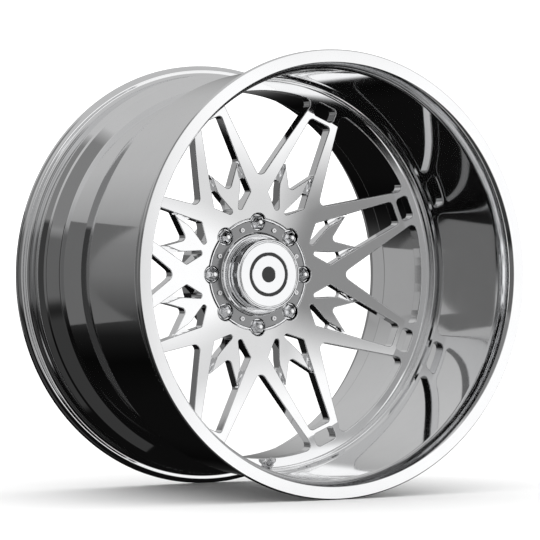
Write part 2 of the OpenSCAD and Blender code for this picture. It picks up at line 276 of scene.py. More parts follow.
class Profile:
    """A surface of revolution as height over radius, in bands with a normal at each end."""

    def __init__(self, points, up, step=14.0):
        p, arrive, leave = trace(points, False, step=step, turn=7.0)
        s = 1.0 if (leave[0][1] > 0) == (up > 0) else -1.0
        self.r, self.t, self.up = p[:, 0], p[:, 1], up
        self.a, self.b = leave[:-1] * s, arrive[1:] * s

    def height(self, r):
        return np.interp(r, self.r, self.t)

    def normal(self, q, band=None):
        r = np.linalg.norm(q, axis=-1)
        if band is None:
            band = np.clip(np.searchsorted(self.r, r) - 1, 0, len(self.a) - 1)
        s = np.clip((r - self.r[band]) / np.maximum(self.r[band + 1] - self.r[band], 1e-9), 0, 1)[..., None]
        n = unit(self.a[band] * (1 - s) + self.b[band] * s)
        return np.concatenate([q * (n[..., :1] / np.maximum(r, 1e-9)[..., None]), n[..., 1:]], -1)


# ---------------------------------------------------------------- meshes with exact normals
class Build:
    """Collects faces with a normal at each corner, in wheel coordinates."""

    def __init__(self):
        self.points, self.faces, self.normals, self.slots, self.count = [], [], [], [], 0

    def add(self, points, faces, normals, slot=0):
        points, faces, normals = (np.asarray(x) for x in (points, faces, normals))
        if len(faces) == 0:
            return
        side = [points[faces[:, k]] - points[faces[:, 0]] for k in range(1, faces.shape[1])]
        flat = sum(np.cross(a, b) for a, b in zip(side, side[1:]))
        wrong = np.sum(flat * normals.sum(1), 1) < 0
        faces, normals = faces.copy(), normals.copy()
        faces[wrong] = faces[wrong][:, ::-1]
        normals[wrong] = normals[wrong][:, ::-1]
        self.points.append(points)
        self.faces += [list(f + self.count) for f in faces]
        self.normals += list(normals)
        self.slots += [slot] * len(faces)
        self.count += len(points)

    def face(self, points, normals):
        """One face with any number of corners."""
        self.points.append(points)
        self.faces.append(list(range(self.count, self.count + len(points))))
        self.normals.append(normals)
        self.slots.append(0)
        self.count += len(points)

    def join(self, other, matrix):
        """Adds another build's faces, carried by a 3x4 matrix of wheel coordinates."""
        m = np.array(matrix)
        self.faces += [[i + self.count for i in f] for f in other.faces]
        self.normals += [n @ m[:, :3].T for n in other.normals]
        self.slots += other.slots
        for p in other.points:
            self.points.append(p @ m[:, :3].T + m[:, 3])
            self.count += len(p)
        return self

    def mesh(self, name, materials):
        p = np.concatenate(self.points)
        keys = np.round(p * 2000).astype(np.int64)
        _, first, back = np.unique(keys, axis=0, return_index=True, return_inverse=True)
        back = back.reshape(-1)
        p = p[first]
        loops, normals, starts, slots, seen = [], [], [], [], set()
        for f, n, s in zip(self.faces, self.normals, self.slots):
            g = [int(back[i]) for i in f]
            keep = [i for i in range(len(g)) if g[i] != g[i - 1]]
            if len(keep) < 3 or len({g[i] for i in keep}) < len(keep):
                continue
            mark = tuple(sorted(g[i] for i in keep))
            if mark in seen:
                continue
            seen.add(mark)
            starts.append(len(loops))
            slots.append(s)
            for i in keep:
                loops.append(g[i])
                normals.append(n[i])
        me = bpy.data.meshes.new(name)
        me.vertices.add(len(p))
        world = np.stack([p[:, 0], -p[:, 2], p[:, 1]], 1) * 0.001
        me.vertices.foreach_set("co", world.astype(np.float32).ravel())
        me.loops.add(len(loops))
        me.loops.foreach_set("vertex_index", np.array(loops, np.int32))
        me.polygons.add(len(starts))
        me.polygons.foreach_set("loop_start", np.array(starts, np.int32))
        me.polygons.foreach_set("material_index", np.array(slots, np.int32))
        me.update(calc_edges=True)
        me.polygons.foreach_set("use_smooth", np.ones(len(starts), bool))
        n = unit(np.array(normals))
        n = np.stack([n[:, 0], -n[:, 2], n[:, 1]], 1)
        me.normals_split_custom_set(n.astype(np.float32))
        for m in materials:
            me.materials.append(m)
        ob = bpy.data.objects.new(name, me)
        bpy.context.scene.collection.objects.link(ob)
        return ob


def grid(build, points, leave, arrive, closed=False, whole=True, slot=0):
    """Faces between rows of points, with the normals that leave one row and arrive at the next.
    A closed grid joins its last row to the first, and a whole one its last column."""
    n, m = points.shape[:2]
    rows, columns = np.arange(n if closed else n - 1), np.arange(m if whole else m - 1)
    i, k = (x.ravel() for x in np.meshgrid(rows, columns, indexing="ij"))
    j, l = (i + 1) % n, (k + 1) % m
    faces = np.stack([i * m + k, i * m + l, j * m + l, j * m + k], 1)
    normals = np.stack([leave[i, k], leave[i, l], arrive[j, l], arrive[j, k]], 1)
    build.add(points.reshape(-1, 3), faces, normals, slot)


def lathe(build, line, segments, closed=False, slot=0, span=(0.0, 2 * math.pi)):
    """Turns a traced (radius, height) line about the t axis; solid lies to the line's left."""
    p, arrive, leave = line
    whole = abs(span[1] - span[0] - 2 * math.pi) < 1e-9
    a = np.linspace(span[0], span[1], segments + (0 if whole else 1), endpoint=not whole)
    c, s = np.cos(a), np.sin(a)
    ring = lambda v: np.stack([v[:, :1] * c, v[:, :1] * s, np.broadcast_to(v[:, 1:], (len(p), len(a)))], -1)
    grid(build, ring(p), ring(leave), ring(arrive), closed, whole, slot)


def sector_matrix(k, r=0.0):
    """Carries something drawn about the x axis to sector k, at a distance r from the axle."""
    a = math.radians(90 - SECTOR * k)
    c, s = math.cos(a), math.sin(a)
    return [[c, -s, 0, r * c], [s, c, 0, r * s], [0, 0, 1, 0]]


def shift_matrix(x, y):
    return [[1, 0, 0, x], [0, 1, 0, y], [0, 0, 1, 0]]


def spun(build, points, segments, step=40.0, turn=9.0, closed=False, slot=0):
    """Turns a section, or the open line of one with the solid to its left."""
    line = hole(points, step=step, turn=turn) if closed else trace(points, False, step=step, turn=turn)
    lathe(build, line, segments, closed, slot)


def tiled(points, edges, gap):
    """Triangles over some points in the plane, among the edges that they must keep."""
    got = delaunay_2d_cdt([Vector(x) for x in points], edges, [], 0, gap, False)
    return np.array([list(x) for x in got[0]]), np.array([list(x) for x in got[2]])


def sheet(build, loops, profile):
    """The part of a surface of revolution inside the first loop and outside the others."""
    spacing, clear = 2.5, 1.6
    border = np.concatenate(loops)
    far = np.linalg.norm(border, axis=1)
    points, edges, n = [border], ring_edges(loops), len(border)
    held = lambda q: between(q, loops[0], loops[1:])
    for b, r in enumerate(profile.r):
        count = int(round(360 / spacing))
        a = (np.arange(count) + 0.5 * (b % 2)) * 2 * math.pi / count
        q = r * np.stack([np.cos(a), np.sin(a)], 1)
        q = q[held(q)]
        q = q[[np.min(np.sum((border - v) ** 2, 1)) > clear ** 2 for v in q]] if len(q) else q
        points.append(q)
        marks = [(math.atan2(*border[i][::-1]), int(i)) for i in np.nonzero(np.abs(far - r) < 1e-6)[0]]
        marks = sorted(marks + [(math.atan2(v[1], v[0]), n + i) for i, v in enumerate(q)])
        n += len(q)
        if len(marks) > 1:
            angle = np.array([m[0] for m in marks] + [marks[0][0] + 2 * math.pi])
            mid = (angle[:-1] + angle[1:]) / 2
            short = np.diff(angle) < math.radians(spacing * 2.2)
            for i in np.nonzero(held(r * np.stack([np.cos(mid), np.sin(mid)], 1)) & short)[0]:
                edges.append((marks[i][1], marks[(i + 1) % len(marks)][1]))
    v, f = tiled(np.concatenate(points), edges, 1e-7)
    f = f[held(v[f].mean(1))]
    band = np.searchsorted(profile.r, np.linalg.norm(v[f].mean(1), axis=1)) - 1
    band = np.clip(band, 0, len(profile.a) - 1)
    normals = profile.normal(v[f], np.repeat(band[:, None], 3, 1))
    build.add(np.column_stack([v, profile.height(np.linalg.norm(v, axis=1))]), f, normals)


def refined(inner, profile):
    """The fractions at which each edge of an inset loop starts, crosses a band and ends."""
    out = []
    nxt = np.roll(inner, -1, 0)
    for i in range(len(inner)):
        cuts = [0.0]
        a, d = inner[i], nxt[i] - inner[i]
        dd = d @ d
        if dd > 1e-8:
            ra, rb = np.linalg.norm(a), np.linalg.norm(nxt[i])
            for rk in profile.r[(profile.r > min(ra, rb) - 1) & (profile.r < max(ra, rb) + 1)]:
                h = (a @ d) ** 2 - dd * (a @ a - rk * rk)
                if h <= 0:
                    continue
                for s in ((-(a @ d) - math.sqrt(h)) / dd, (-(a @ d) + math.sqrt(h)) / dd):
                    if 1e-3 < s < 1 - 1e-3:
                        cuts.append(s)
        out.append(sorted(cuts) + [1.0])
    return out


def skirt(build, loop, inner, cuts, profile, depth, to, side, steps=3, only=None):
    """The rounded edge of a sheet and the wall below it. to gives the wall's far height at
    each point of the loop; side is -1 round a hole and 1 round the outside."""
    p, arrive, leave = loop
    n, sign = len(p), profile.up
    to = np.broadcast_to(to, n)
    to_next = np.roll(to, -1)
    outer_next, inner_next = np.roll(p, -1, 0), np.roll(inner, -1, 0)
    for i in range(n):
        if only is not None and not only[i]:
            continue
        s = np.array(cuts[i])[:, None]
        o = p[i] * (1 - s) + outer_next[i] * s
        q = inner[i] * (1 - s) + inner_next[i] * s
        w = unit(leave[i] * (1 - s) + arrive[(i + 1) % n] * s) * side
        w3 = np.concatenate([w, np.zeros((len(s), 1))], 1)
        end = (to[i] * (1 - s) + to_next[i] * s)[:, 0]
        rows, norms = [], []
        for k in range(steps + 1):
            f = math.pi / 2 * k / steps
            at = q + (o - q) * math.sin(f)
            t = profile.height(np.linalg.norm(at, axis=1)) - sign * depth * (1 - math.cos(f))
            rows.append(np.column_stack([at, t]))
            norms.append(unit(profile.normal(at) * math.cos(f) + w3 * math.sin(f)))
        rows.append(np.column_stack([o, end]))
        norms = np.array(norms + [w3])
        grid(build, np.array(rows), norms, norms, whole=False)


def with_cuts(inner, cuts):
    """The inset loop's points with the band crossings among them."""
    out, nxt = [], np.roll(inner, -1, 0)
    for i in range(len(inner)):
        for s in cuts[i][:-1]:
            q = inner[i] * (1 - s) + nxt[i] * s
            if not out or np.linalg.norm(out[-1] - q) > 1e-6:
                out.append(q)
    if np.linalg.norm(out[0] - out[-1]) < 1e-6:
        out.pop()
    return np.array(out)


def outside_edge(build, loop, profile, edge, to, steps=3):
    """A rounded outer edge and the wall below it. Returns the outline left for the sheet."""
    inner = inset((loop[0], -loop[1], -loop[2]), edge)
    cuts = refined(inner, profile)
    skirt(build, loop, inner, cuts, profile, edge, to, 1, steps)
    return with_cuts(inner, cuts)


def hole_edge(build, loop, profile, edge, drops):
    """The same round a hole, where drops pairs each wall's far height with the edges it is for."""
    inner = inset(loop, edge)
    cuts = refined(inner, profile)
    for to, only in drops:
        skirt(build, loop, inner, cuts, profile, edge, to, -1, only=only)
    return with_cuts(inner, cuts)


def flat_floor(build, loops, keep, drop, height):
    """A flat floor whose triangles keep to the loops, inside keep and outside those to drop."""
    loops = [x[0] for x in loops]
    v, f = tiled(np.concatenate(loops), ring_edges(loops), 1e-5)
    f = f[between(v[f].mean(1), keep[0], [x[0] for x in drop])]
    build.add(np.column_stack([v, np.full(len(v), height)]), f, np.tile([0.0, 0, 1], (len(f), 3, 1)))


def walls(build, loop, top, bottom, only):
    """Plain walls down from those edges of a loop that only picks, facing into the loop."""
    p, arrive, leave = loop
    level = lambda v, t: np.column_stack([v, np.full(len(v), t)])
    for i in np.nonzero(only)[0]:
        j = (i + 1) % len(p)
        ends = p[[i, j]]
        side = np.tile(-level(np.array([leave[i], arrive[j]]), 0.0), (2, 1, 1))
        grid(build, np.array([level(ends, top), level(ends, bottom)]), side, side, whole=False)


# ---------------------------------------------------------------- the valve's own axes
SIN_V, COS_V = math.sin(VALVE_TILT), math.cos(VALVE_TILT)
VALVE = np.array([[1, 0, 0, 0], [0, COS_V, SIN_V, -VALVE_R], [0, -SIN_V, COS_V, RING_T]], float)


def in_valve(p):
    return (np.asarray(p) - VALVE[:, 3]) @ VALVE[:, :3]


def from_valve(p):
    return p @ VALVE[:, :3].T + VALVE[:, 3]


# ---------------------------------------------------------------- barrel
FLANGE = [
    (330.0, FACE_T, 1.3), (RIM_R - 1.6, FACE_T, 1.0), (RIM_R, FACE_T - 2, 1.2), (RIM_R, 210.3, 0.3),
    (RIM_R - 2, BEAD_T, 9.5), (SEAT_R, BEAD_T, 6.5), (330.7, 175.0, 3.0), (SEAT_R, 169.5, 4.0),
    (OUTER_R, 158.0, 3.0),
]
BARREL = (
    FLANGE
    + [(OUTER_R, 7.0, 1.0), (319.5, 7.0, 0.8), (319.5, -10.0, 4.0), (WELL_R, -58.0, 8.0)]
    + [(WELL_R, -133.0, 9.0), (326.0, -152.0, 6.0)]
    + [(r, -t, f) for r, t, f in FLANGE[::-1]]
    + [(OUTER_R, -209.0, 3.0), (319.0, -193.0, 8.0), (318.5, -150.0, 6.0), (WELL_IN_R, -129.0, 8.0)]
    + [(WELL_IN_R, BACK_T, 0.8), (CENTER_R + 0.05, BACK_T), (CENTER_R + 0.05, 1.0, 0.4), (315.5, 1.0, 0.3)]
    + [(315.5, 6.0, 0.4), (317.0, 6.0, 0.3), (317.6, 12.0, 1.5), (319.3, 17.0, 2.0), (LIP_R, 23.0, 4.0)]
    + [(LIP_R, 202.7, 53.0)]
)


def less(solid, cutter):
    """The faces of one solid with another cut out of it, each with its own normal."""
    a, b = solid.mesh("uncut", []), cutter.mesh("cutter", [])
    cut = a.modifiers.new("cut", "BOOLEAN")
    cut.operation, cut.object, cut.solver = "DIFFERENCE", b, "EXACT"
    bpy.context.view_layer.update()
    got = a.evaluated_get(bpy.context.evaluated_depsgraph_get()).to_mesh()
    to_wheel = lambda v: np.array([(x, z, -y) for x, y, z in v])
    points = to_wheel([v.co for v in got.vertices]) * 1000
    faces = [points[list(f.vertices)] for f in got.polygons]
    normals = to_wheel([f.normal for f in got.polygons])
    for ob in (a, b):
        data = ob.data
        bpy.data.objects.remove(ob)
        bpy.data.meshes.remove(data)
    return zip(faces, normals)


def cut_wedge(line, build, half, columns):
    """The bottom of the barrel, with the valve's seats and hole cut into it."""
    raw, cutter = Build(), Build()
    span = (-math.pi / 2 - half, -math.pi / 2 + half)
    lathe(raw, line, columns, True, 0, span)
    p = line[0]
    for a, sign in zip(span, (1, -1)):
        end = np.column_stack([p[:, 0] * math.cos(a), p[:, 0] * math.sin(a), p[:, 1]])
        raw.face(end[::-sign], np.tile([sign * math.sin(a), -sign * math.cos(a), 0], (len(p), 1)))
    spun(cutter, [
        (0, -50), (SPOT_R, -50), (SPOT_R, -VALVE_WALL), (VALVE_HOLE_R, -VALVE_WALL), (VALVE_HOLE_R, 0),
        (SPOT_R, 0), (SPOT_R, 30), (0, 30),
    ], 120, 60, 7, True)
    na, nb = line[2], np.roll(line[1], -1, 0)
    e = np.roll(p, -1, 0) - p
    size = np.sum(e * e, 1)
    for q, m in less(raw, Build().join(cutter, VALVE)):
        mid = q.mean(0)
        ang = math.atan2(mid[1], mid[0])
        if min(abs(ang - a) for a in span) < 1e-5:
            continue
        rt = np.array([math.hypot(mid[0], mid[1]), mid[2]])
        s = np.clip(np.sum((rt - p) * e, 1) / size, 0, 1)
        dist = np.linalg.norm(p + e * s[:, None] - rt, axis=1)
        k = int(np.argmin(dist))
        flat = unit(na[k] + nb[k])
        turned_normal = np.array([math.cos(ang) * flat[0], math.sin(ang) * flat[0], flat[1]])
        w = in_valve(q)
        rho = np.linalg.norm(w[:, :2], axis=1)
        if dist[k] < 0.12 and m @ turned_normal > 0.95:
            r = np.linalg.norm(q[:, :2], axis=1)
            s = np.clip(((np.column_stack([r, q[:, 2]]) - p[k]) @ e[k]) / size[k], 0, 1)[:, None]
            n2 = unit(na[k] * (1 - s) + nb[k] * s)
            corner = np.column_stack([q[:, :2] / r[:, None] * n2[:, :1], n2[:, 1]])
        elif rho.max() - rho.min() < 0.1:
            corner = -np.column_stack([w[:, :2] / rho[:, None], np.zeros(len(q))]) @ VALVE[:, :3].T
        else:
            corner = np.tile(m, (len(q), 1))
        build.face(q, corner)


def make_barrel():
    line = hole(BARREL, step=24.0, turn=6.0)
    b = Build()
    half = math.radians(4)
    lathe(b, line, 352, True, 0, (-math.pi / 2 + half, 1.5 * math.pi - half))
    cut_wedge(line, b, half, 48)
    return b


# ---------------------------------------------------------------- spoked centre
def pair_edge(u):
    return 21.4 + 0.119 * (255.3 - u)


SLOT = [(146.3, 0, 6.5), (187.5, pair_edge(187.5), 6.5), (268.2, pair_edge(268.2), 6.5),
        (268.2, -pair_edge(268.2), 6.5), (187.5, -pair_edge(187.5), 6.5)]
WINDOW = [(276, -19.2, 6.5), (298, -19.2, 6.5), (298, 19.2, 6.5), (276, 19.2, 6.5)]
TEAR = [(113, 5.4, 3.4), (108.8, 10.4, 3.4), (131, pair_edge(131) + 0.4, 3.4), (156, pair_edge(156), 3.4),
        (156, 24.2, 3.4), (143.5, 19.9)]
LEDGE = [(150, pair_edge(150), 1), (190.5, pair_edge(190.5), 1), (175.5, 24.6), (166, 23.8), (150, 22.6, 1)]


def gap_points():
    """The large opening between two spoke pairs: a wedge that ends in an arc of the ring."""
    tip, corner, tan = 156.1, 9.5, math.tan(math.radians(34.2))
    a = 1 + tan * tan
    b = -2 * tip * tan * tan
    c = (tip * tan) ** 2 - RING_IN_R ** 2
    u = (-b + math.sqrt(b * b - 4 * a * c)) / (2 * a)
    end = math.atan2((u - tip) * tan, u)
    arc = [polar(RING_IN_R, x) for x in np.linspace(end, -end, 13)]
    return [(tip, 0, corner), (*arc[0], corner)] + [(*x, 60.0) for x in arc[1:-1]] + [(*arc[-1], corner)]


def dish(r):
    """Height of the dish: a straight slope from the hub to the ring that sags in between."""
    slope = (RING_T - 2 - HUB_T) / (DISH_OUT_R - DISH_IN_R)
    drop = HUB_T + slope * (DISH_MID_R - DISH_IN_R) - DISH_MID_T
    sag = drop / ((DISH_MID_R - DISH_IN_R) * (DISH_OUT_R - DISH_MID_R))
    return HUB_T + slope * (r - DISH_IN_R) - sag * (r - DISH_IN_R) * (DISH_OUT_R - r)


def dish_profile():
    """The dish with its own slope at every ring, and a crisp break where the flat ring starts."""
    r = np.concatenate([np.linspace(DISH_IN_R - 2.5, DISH_OUT_R, 26), [CENTER_R + 1]])
    front = Profile([(x, dish(x)) for x in r[:-1]] + [(CENTER_R + 1, RING_T)], 1, step=1000.0)
    lean = (dish(r + 0.01) - dish(r - 0.01)) / 0.02
    slopes = unit(np.column_stack([-lean, np.ones(len(r))]))
    front.a[:-1], front.b[:-1] = slopes[:-2], slopes[1:-1]
    return front


class Openings:
    """The outlines cut into the centre, each about the axis of its own sector."""

    def __init__(self):
        self.outer = circle(CENTER_R, 180)
        self.gap, self.window, self.slot = (hole(x, turn=10) for x in (gap_points(), WINDOW, SLOT))
        both_sides = lambda x: [x, turned(x, 90, True)]
        self.tears, self.ledges = both_sides(hole(TEAR, turn=12)), both_sides(hole(LEDGE, turn=30))
        self.deeps = [hole(inset((x[0], -x[1], -x[2]), STEP_W).tolist(), step=30) for x in self.ledges]
        others = [x[0] for x in self.ledges + self.deeps]
        self.slot_cut = split_at(self.slot, others)
        self.tears_cut = [split_at(x, others) for x in self.tears]
        self.fork = merged([self.slot_cut] + self.tears_cut + self.ledges)
        self.recess = circle(DISH_IN_R, 120)
        self.pockets = [circle(POCKET_R, 40, polar(LUG_R, a), a) for a in LUG_AT]
        self.hub = merged([self.recess] + self.pockets)


def front_face(b, cut, front, middle):
    loops = [outside_edge(b, cut.outer, front, OUTER_EDGE, BACK_T + OUTER_EDGE, 2)]
    for k in range(SECTORS):
        at = SECTOR * (k + 0.5)
        for loop in (turned(cut.gap, SECTOR * k), turned(cut.window, at)):
            loops.append(hole_edge(b, loop, front, EDGE, [(middle(loop[0]), None)]))
        fork = turned(cut.fork, at)
        through = in_any(beside(fork, -0.05), [turned(x, at) for x in [cut.slot] + cut.tears])
        loops.append(hole_edge(b, fork, front, EDGE, [(middle(fork[0]), through), (LEDGE_T, ~through)]))
    probe = beside(cut.hub, -0.05)
    low = between(probe, cut.recess[0], [x[0] for x in cut.pockets])
    loops.append(hole_edge(b, cut.hub, front, EDGE, [(RECESS_T, low), (POCKET_T, ~low)]))
    sheet(b, loops + [valve_dip()], front)


def back_face(b, cut, back, middle):
    loops = [outside_edge(b, cut.outer, back, OUTER_EDGE, BACK_T + OUTER_EDGE, 2)]
    for k in range(SECTORS):
        at = SECTOR * (k + 0.5)
        for loop in (turned(cut.gap, SECTOR * k), turned(cut.window, at)):
            loops.append(hole_edge(b, loop, back, EDGE, [(middle(loop[0]), None)]))
        for x in [cut.slot_cut] + cut.tears_cut:
            loop = turned(x, at)
            probe = beside(loop, 0.05)
            deep = in_any(probe, [turned(y, at) for y in cut.deeps])
            shelf = in_any(probe, [turned(y, at) for y in cut.ledges])
            drops = [(middle(loop[0]), ~shelf), (LEDGE_T, shelf & ~deep), (LEDGE_DEEP_T, deep)]
            loops.append(hole_edge(b, loop, back, EDGE, drops))
    sheet(b, loops + [circle(PAD_R, 180)[0]], back)


def ledge_floors(b, cut):
    """The stepped floors beside the forks."""
    floor, through = Build(), [cut.slot] + cut.tears
    for ledge, deep in zip(cut.ledges, cut.deeps):
        for at, keep, drop in ((LEDGE_T, ledge, [deep]), (LEDGE_DEEP_T, deep, [])):
            lines = []
            for x in [keep] + drop + through:
                lines.append(split_at(x, [y[0] for y in [ledge, deep] + through if y is not x]))
            flat_floor(floor, lines, keep, through + drop, at)
        wall = split_at(deep, [x[0] for x in through])
        walls(floor, wall, LEDGE_T, LEDGE_DEEP_T, ~in_any(beside(wall, 0), through))
    for k in range(SECTORS):
        b.join(floor, sector_matrix(k + 0.5))


def hub_recess(b, cut):
    """The recess under the cap, with holes for its screws, and the counterbores' walls."""
    recess = split_at(cut.recess, [x[0] for x in cut.pockets])
    pockets = [split_at(x, [cut.recess[0]]) for x in cut.pockets]
    drop = [circle(2.5, 20, polar(SCREW_R, a)) for a in SCREW_AT] + [circle(BORE_R + 0.5, 120)]
    flat_floor(b, [recess] + pockets + drop, cut.recess, cut.pockets + drop, RECESS_T)
    for x in pockets:
        walls(b, x, RECESS_T, POCKET_T, within(beside(x, 0), cut.recess[0]))


def mounting_pad(b):
    """The pad behind the hub, with the bore, the lug seats, the blind pockets and the screw holes."""
    rims = [circle(LUG_HOLE_R + 0.8, 40, polar(LUG_R, a), a)[0] for a in LUG_AT]
    rims += [circle(9.8, 40, polar(DENT_R, a))[0] for a in SCREW_AT]
    pad = Profile([(50.0, PAD_T), (PAD_R + 2, PAD_T)], -1, step=15.0)
    sheet(b, [circle(PAD_R - 0.8, 180)[0], circle(BORE_R + 1.5, 120)[0]] + rims, pad)
    spun(b, [(PAD_R - 0.8, PAD_T), (PAD_R, PAD_T + 0.8), (PAD_R, -72.0)], 180, 30)
    bore = [(BORE_R + 0.5, RECESS_T), (BORE_R, RECESS_T - 0.5), (BORE_R, PAD_T + 1.5), (BORE_R + 1.5, PAD_T)]
    spun(b, bore, 120, 30)
    seat, dent, screw_hole = Build(), Build(), Build()
    cone = [(POCKET_R, POCKET_T), (SEAT_CONE_R, POCKET_T, 0.3), (LUG_HOLE_R, POCKET_T - SEAT_CONE_H, 0.3)]
    lug_hole = [(LUG_HOLE_R, PAD_T + 0.8), (LUG_HOLE_R + 0.8, PAD_T)]
    blind = [(0, PAD_T + 22), (9.0, PAD_T + 22, 1.5), (9.0, PAD_T + 0.8), (9.8, PAD_T)]
    spun(seat, cone + lug_hole, 40)
    spun(dent, blind, 40)
    spun(screw_hole, [(2.5, RECESS_T), (2.5, -56.0), (0, -57.4)], 20)
    for k, a in enumerate(SCREW_AT):
        b.join(seat, sector_matrix(k, LUG_R))
        b.join(dent, shift_matrix(*polar(DENT_R, a)))
        b.join(screw_hole, shift_matrix(*polar(SCREW_R, a)))


HALF_TURN = np.linspace(0, math.pi, 25)


def valve_dip():
    """Where the valve's spot face and the hole in it meet the flat ring."""
    c, s = np.cos(HALF_TURN), np.sin(HALF_TURN)
    return np.concatenate([
        np.column_stack([SPOT_R * c, -VALVE_R + SPOT_R / COS_V * s]),
        np.column_stack([-VALVE_HOLE_R * c, -VALVE_R - VALVE_HOLE_R / COS_V * s]),
    ])


def valve_seat(b):
    """The half of the valve's spot face that dips into the ring, and the hole through it."""
    ring = lambda a, r, z: np.column_stack([r * np.cos(a), r * np.sin(a), z])
    to_axis = lambda a: np.tile(-ring(a, 1, 0 * a) @ VALVE[:, :3].T, (2, 1, 1))
    n, zero = len(HALF_TURN), 0 * HALF_TURN
    low = from_valve(ring(HALF_TURN, SPOT_R, zero))
    high = np.column_stack([valve_dip()[:n], np.full(n, RING_T)])
    side = to_axis(HALF_TURN)
    grid(b, np.array([low, high]), side, side, whole=False)
    face = np.tile(VALVE[:, 2], (2, n, 1))
    grid(b, np.array([low, from_valve(ring(HALF_TURN, VALVE_HOLE_R, zero))]), face, face, whole=False)
    full = np.linspace(0, 2 * math.pi, 2 * n - 1)[:-1]
    top = np.minimum(0, VALVE_HOLE_R * np.sin(full) * math.tan(VALVE_TILT))
    tube = [from_valve(ring(full, VALVE_HOLE_R, z)) for z in (top, 0 * full - VALVE_WALL)]
    side = to_axis(full)
    grid(b, np.array(tube), side, side)


def make_centre():
    b, cut, front = Build(), Openings(), dish_profile()
    back = Profile([
        (PAD_R - 0.2, -72.2), (128.0, -53.0, 14.0), (RING_IN_R - 14, BACK_T - 1, 10.0),
        (RING_IN_R, BACK_T, 6.0), (CENTER_R + 1, BACK_T),
    ], -1, step=20.0)

    def middle(p):
        r = np.linalg.norm(p, axis=1)
        return (front.height(r) + back.height(r)) / 2

    front_face(b, cut, front, middle)
    back_face(b, cut, back, middle)
    ledge_floors(b, cut)
    hub_recess(b, cut)
    mounting_pad(b)
    valve_seat(b)
    return b


# ---------------------------------------------------------------- hub cap
LAND_T, BASE_BACK_T, RIM_LIP_T, SCALLOP_R = HUB_T - 0.5, RECESS_T + 0.8, HUB_T + 1.2, POCKET_R - 1.2
SCREW_HOLE_R = 2.6


def notched(disc, bites):
    """The outline of a disc with round bites taken out of its edge."""
    bites = [(b[0][::-1], -b[2][::-1], -b[1][::-1]) for b in bites]
    edge = split_at(disc, [b[0] for b in bites])
    arcs = [split_at(b, [disc[0]]) for b in bites]
    shown = [~in_any(beside(edge, 0), bites)] + [within(beside(b, 0), disc[0]) for b in arcs]
    return chained([edge] + arcs, shown)


def make_cap_base():
    b, c, edge = Build(), CAN_R, 0.5
    line = notched(circle(BASE_R, 240), [circle(SCALLOP_R, 64, polar(LUG_R, a), a) for a in LUG_AT])
    front = Profile([
        (c + 0.1, LAND_T + 2.6), (c + 1.6, LAND_T + 2.6, 0.5), (c + 2.2, LAND_T + 1.2, 0.5),
        (c + 3.8, LAND_T + 1.2, 0.7), (c + 5.4, LAND_T + 4.0, 1.0), (c + 8.0, LAND_T + 3.4, 1.4),
        (c + 9.5, LAND_T + 0.6, 1.2), (c + 11.0, LAND_T, 1.5), (BASE_R - 3.0, LAND_T, 0.8),
        (BASE_R - 1.8, RIM_LIP_T, 0.5), (BASE_R + 1, RIM_LIP_T),
    ], 1, step=6.0)
    outline = outside_edge(b, line, front, edge, BASE_BACK_T)
    inside = [circle(c + 0.1, 160)[0]] + [circle(SCREW_HOLE_R, 16, polar(SCREW_R, a))[0] for a in SCREW_AT]
    sheet(b, [outline] + inside, front)
    spun(b, [(c + 0.1, LAND_T + 2.6), (c + 0.1, BASE_BACK_T)], 160)
    sheet(b, [line[0]] + inside, Profile([(c, BASE_BACK_T), (BASE_R + 1, BASE_BACK_T)], -1, step=20.0))
    # the land between the can's foot and the raised rim is satin
    points, low, high = np.concatenate(b.points), c + 10.6, BASE_R - 2.6
    for i, f in enumerate(b.faces):
        q = points[f]
        r = np.linalg.norm(q[:, :2], axis=1)
        if r.min() > low and r.max() < high and q[:, 2].min() > LAND_T - 0.3:
            b.slots[i] = 1
    bore = Build()
    spun(bore, [(SCREW_HOLE_R, LAND_T), (SCREW_HOLE_R, BASE_BACK_T)], 16)
    for a in SCREW_AT:
        b.join(bore, shift_matrix(*polar(SCREW_R, a)))
    return b


def make_can():
    b, c = Build(), CAN_R
    spun(b, [
        (c - 3.4, BASE_BACK_T), (c + 3.5, BASE_BACK_T, 0.4), (c + 3.5, BASE_BACK_T + 2, 0.4),
        (c, BASE_BACK_T + 2, 0.3), (c, -30, 0.4), (c - 1.2, -29, 0.3), (c - 1.2, -27.4, 0.3), (c, -26.4, 0.4),
        (c, -1.6, 1.4), (c - 1.6, 0, 0.8), (FACE_R + 0.9, 0, 0.3), (FACE_R + 0.1, -0.8, 0.3),
        (FACE_R + 0.1, -3.4), (FACE_R - 5, -3.4), (FACE_R - 5, -6.4), (c - 3.4, -10.4, 2.0),
    ], 200, 60, 7, True)
    return b


def make_cap_face():
    b = Build()
    top, low, r = -0.2, -0.8, FACE_R
    bright = [
        [(35.4, low), (36.0, top, 0.25), (r - 3.0, top, 0.2), (r - 2.4, -0.7, 0.2), (r - 1.8, top, 0.2),
         (r - 0.6, -0.4, 0.3), (r, -1.2, 0.3), (r, -3.4, 0.2), (0, -3.4)],
        [(12.4, low), (13.0, top, 0.25), (30.0, top, 0.25), (30.6, low)],
    ]
    for line in bright:
        spun(b, line[::-1], 160, 8, 10)
    for line in ([(30.6, low), (35.4, low)], [(0, low), (12.4, low)]):
        spun(b, line[::-1], 160, 4, slot=1)
    return b


